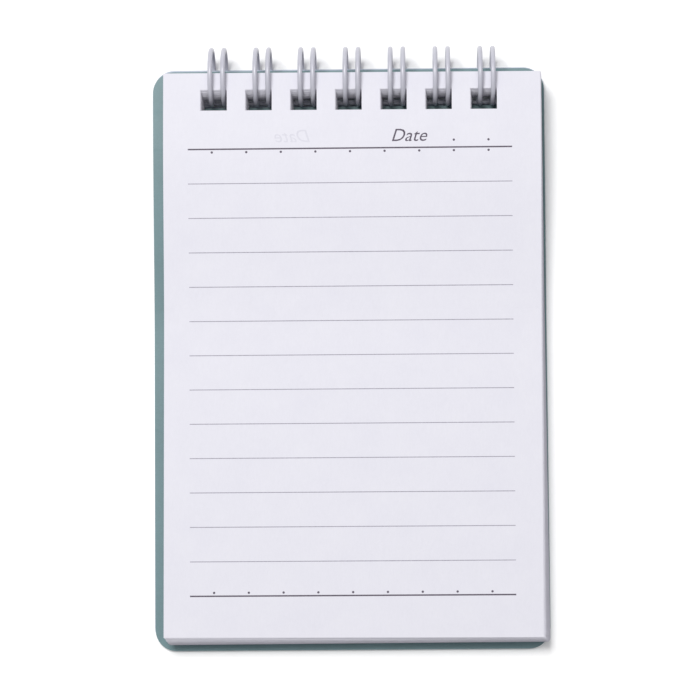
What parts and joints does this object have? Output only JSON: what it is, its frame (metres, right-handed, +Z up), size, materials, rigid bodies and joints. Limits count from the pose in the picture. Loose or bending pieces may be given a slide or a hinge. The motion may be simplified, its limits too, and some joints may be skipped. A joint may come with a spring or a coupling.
{
  "type": "pocket notebook",
  "caption": "Pocket notebook with a twin-loop wire binding along its top edge, ruled leaves that turn over the wire and a front cover folded behind.",
  "frame": {"origin": "centre of the outline, on the surface the notebook lies on", "axes": "+X across the page to its right, +Y up the page to the wire binding, +Z up out of the page"},
  "size_m": [0.075, 0.114, 0.0113],
  "materials": {
    "coated_wire": "nylon-coated steel wire, light grey, satin",
    "teal_plastic": "polypropylene sheet with a fine matte grain, muted teal",
    "frosted_plastic": "frosted polypropylene sheet, pale blue grey",
    "paper": "smooth uncoated offset paper, cool white, ruled"
  },
  "bodies": {
    "binding": {"wire_binding": "coated_wire", "back_cover": "teal_plastic"},
    "front_cover": {"front_cover": "frosted_plastic"},
    "leaf_01": {"leaf_01": "paper"},
    "leaf_02": {"leaf_02": "paper"},
    "leaf_03": {"leaf_03": "paper"},
    "leaf_04": {"leaf_04": "paper"},
    "leaf_05": {"leaf_05": "paper"},
    "leaf_06": {"leaf_06": "paper"},
    "leaf_07": {"leaf_07": "paper"},
    "leaf_08": {"leaf_08": "paper"},
    "leaf_09": {"leaf_09": "paper"},
    "leaf_10": {"leaf_10": "paper"},
    "sheet_stack_1": {"sheet_stack_1": "paper"},
    "sheet_stack_2": {"sheet_stack_2": "paper"},
    "sheet_stack_3": {"sheet_stack_3": "paper"},
    "sheet_stack_4": {"sheet_stack_4": "paper"},
    "sheet_stack_5": {"sheet_stack_5": "paper"},
    "sheet_stack_6": {"sheet_stack_6": "paper"},
    "sheet_stack_7": {"sheet_stack_7": "paper"},
    "sheet_stack_8": {"sheet_stack_8": "paper"}
  },
  "joints": [
    {"name": "front_cover_swing", "type": "hinge", "parent": "binding", "child": "front_cover", "pos_m": [0, 0.05139, 0.00565], "axis": [1, 0, 0], "range_deg": [0, 75]},
    {"name": "leaf_01_turn", "type": "hinge", "parent": "binding", "child": "leaf_01", "pos_m": [0, 0.05139, 0.00565], "axis": [-1, 0, 0], "range_deg": [0, 105]},
    {"name": "leaf_02_turn", "type": "hinge", "parent": "binding", "child": "leaf_02", "pos_m": [0, 0.05139, 0.00565], "axis": [-1, 0, 0], "range_deg": [0, 99.7]},
    {"name": "leaf_03_turn", "type": "hinge", "parent": "binding", "child": "leaf_03", "pos_m": [0, 0.05139, 0.00565], "axis": [-1, 0, 0], "range_deg": [0, 93.8]},
    {"name": "leaf_04_turn", "type": "hinge", "parent": "binding", "child": "leaf_04", "pos_m": [0, 0.05139, 0.00565], "axis": [-1, 0, 0], "range_deg": [0, 88]},
    {"name": "leaf_05_turn", "type": "hinge", "parent": "binding", "child": "leaf_05", "pos_m": [0, 0.05139, 0.00565], "axis": [-1, 0, 0], "range_deg": [0, 82.2]},
    {"name": "leaf_06_turn", "type": "hinge", "parent": "binding", "child": "leaf_06", "pos_m": [0, 0.05139, 0.00565], "axis": [-1, 0, 0], "range_deg": [0, 76.3]},
    {"name": "leaf_07_turn", "type": "hinge", "parent": "binding", "child": "leaf_07", "pos_m": [0, 0.05139, 0.00565], "axis": [-1, 0, 0], "range_deg": [0, 70.5]},
    {"name": "leaf_08_turn", "type": "hinge", "parent": "binding", "child": "leaf_08", "pos_m": [0, 0.05139, 0.00565], "axis": [-1, 0, 0], "range_deg": [0, 64.7]},
    {"name": "leaf_09_turn", "type": "hinge", "parent": "binding", "child": "leaf_09", "pos_m": [0, 0.05139, 0.00565], "axis": [-1, 0, 0], "range_deg": [0, 58.8]},
    {"name": "leaf_10_turn", "type": "hinge", "parent": "binding", "child": "leaf_10", "pos_m": [0, 0.05139, 0.00565], "axis": [-1, 0, 0], "range_deg": [0, 53]},
    {"name": "sheet_stack_1_turn", "type": "hinge", "parent": "binding", "child": "sheet_stack_1", "pos_m": [0, 0.05139, 0.00565], "axis": [-1, 0, 0], "range_deg": [0, 47.2]},
    {"name": "sheet_stack_2_turn", "type": "hinge", "parent": "binding", "child": "sheet_stack_2", "pos_m": [0, 0.05139, 0.00565], "axis": [-1, 0, 0], "range_deg": [0, 41.3]},
    {"name": "sheet_stack_3_turn", "type": "hinge", "parent": "binding", "child": "sheet_stack_3", "pos_m": [0, 0.05139, 0.00565], "axis": [-1, 0, 0], "range_deg": [0, 35.5]},
    {"name": "sheet_stack_4_turn", "type": "hinge", "parent": "binding", "child": "sheet_stack_4", "pos_m": [0, 0.05139, 0.00565], "axis": [-1, 0, 0], "range_deg": [0, 29.7]},
    {"name": "sheet_stack_5_turn", "type": "hinge", "parent": "binding", "child": "sheet_stack_5", "pos_m": [0, 0.05139, 0.00565], "axis": [-1, 0, 0], "range_deg": [0, 23.8]},
    {"name": "sheet_stack_6_turn", "type": "hinge", "parent": "binding", "child": "sheet_stack_6", "pos_m": [0, 0.05139, 0.00565], "axis": [-1, 0, 0], "range_deg": [0, 18]},
    {"name": "sheet_stack_7_turn", "type": "hinge", "parent": "binding", "child": "sheet_stack_7", "pos_m": [0, 0.05139, 0.00565], "axis": [-1, 0, 0], "range_deg": [0, 12.2]},
    {"name": "sheet_stack_8_turn", "type": "hinge", "parent": "binding", "child": "sheet_stack_8", "pos_m": [0, 0.05139, 0.00565], "axis": [-1, 0, 0], "range_deg": [0, 6.3]}
  ],
  "couplings": [
    {"joint": "leaf_02_turn", "follows": "leaf_01_turn", "ratio": 0.9444},
    {"joint": "leaf_03_turn", "follows": "leaf_01_turn", "ratio": 0.8889},
    {"joint": "leaf_04_turn", "follows": "leaf_01_turn", "ratio": 0.8333},
    {"joint": "leaf_05_turn", "follows": "leaf_01_turn", "ratio": 0.7778},
    {"joint": "leaf_06_turn", "follows": "leaf_01_turn", "ratio": 0.7222},
    {"joint": "leaf_07_turn", "follows": "leaf_01_turn", "ratio": 0.6667},
    {"joint": "leaf_08_turn", "follows": "leaf_01_turn", "ratio": 0.6111},
    {"joint": "leaf_09_turn", "follows": "leaf_01_turn", "ratio": 0.5556},
    {"joint": "leaf_10_turn", "follows": "leaf_01_turn", "ratio": 0.5},
    {"joint": "sheet_stack_1_turn", "follows": "leaf_01_turn", "ratio": 0.4444},
    {"joint": "sheet_stack_2_turn", "follows": "leaf_01_turn", "ratio": 0.3889},
    {"joint": "sheet_stack_3_turn", "follows": "leaf_01_turn", "ratio": 0.3333},
    {"joint": "sheet_stack_4_turn", "follows": "leaf_01_turn", "ratio": 0.2778},
    {"joint": "sheet_stack_5_turn", "follows": "leaf_01_turn", "ratio": 0.2222},
    {"joint": "sheet_stack_6_turn", "follows": "leaf_01_turn", "ratio": 0.1667},
    {"joint": "sheet_stack_7_turn", "follows": "leaf_01_turn", "ratio": 0.1111},
    {"joint": "sheet_stack_8_turn", "follows": "leaf_01_turn", "ratio": 0.0556}
  ]
}
